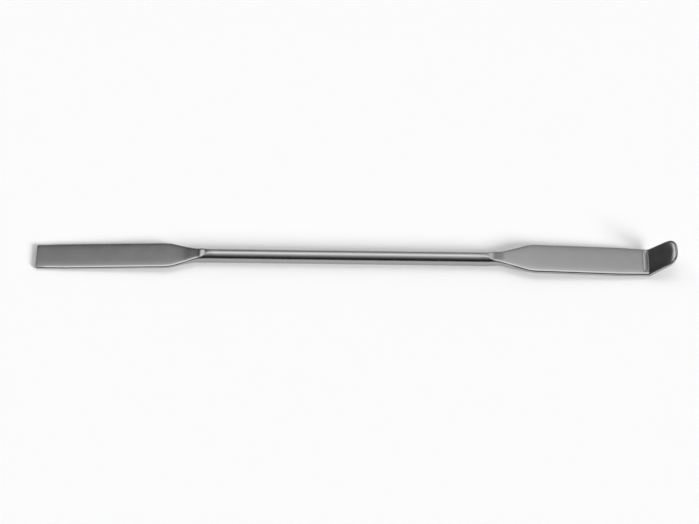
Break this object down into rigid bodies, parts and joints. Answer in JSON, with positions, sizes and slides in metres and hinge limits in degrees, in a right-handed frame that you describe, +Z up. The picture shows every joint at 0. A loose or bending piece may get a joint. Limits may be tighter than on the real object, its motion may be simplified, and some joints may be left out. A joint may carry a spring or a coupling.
{
  "type": "lab spatula",
  "caption": "Double-ended forged steel laboratory spatula: round stem, flat square-ended blade and flat blade with an upturned rounded tip, for scooping and spreading powders.",
  "frame": {"origin": "on the bench, below the middle of the overall length and on the spatula's plane of symmetry", "axes": "+X along the stem towards the blade with the upturned tip, +Y across the blades, +Z up from the bench"},
  "size_m": [0.15, 0.0086, 0.0061],
  "materials": {
    "steel": "satin, with fine grain along the stem and smoother flats"
  },
  "bodies": {
    "root": {"spatula": "steel"}
  },
  "joints": []
}
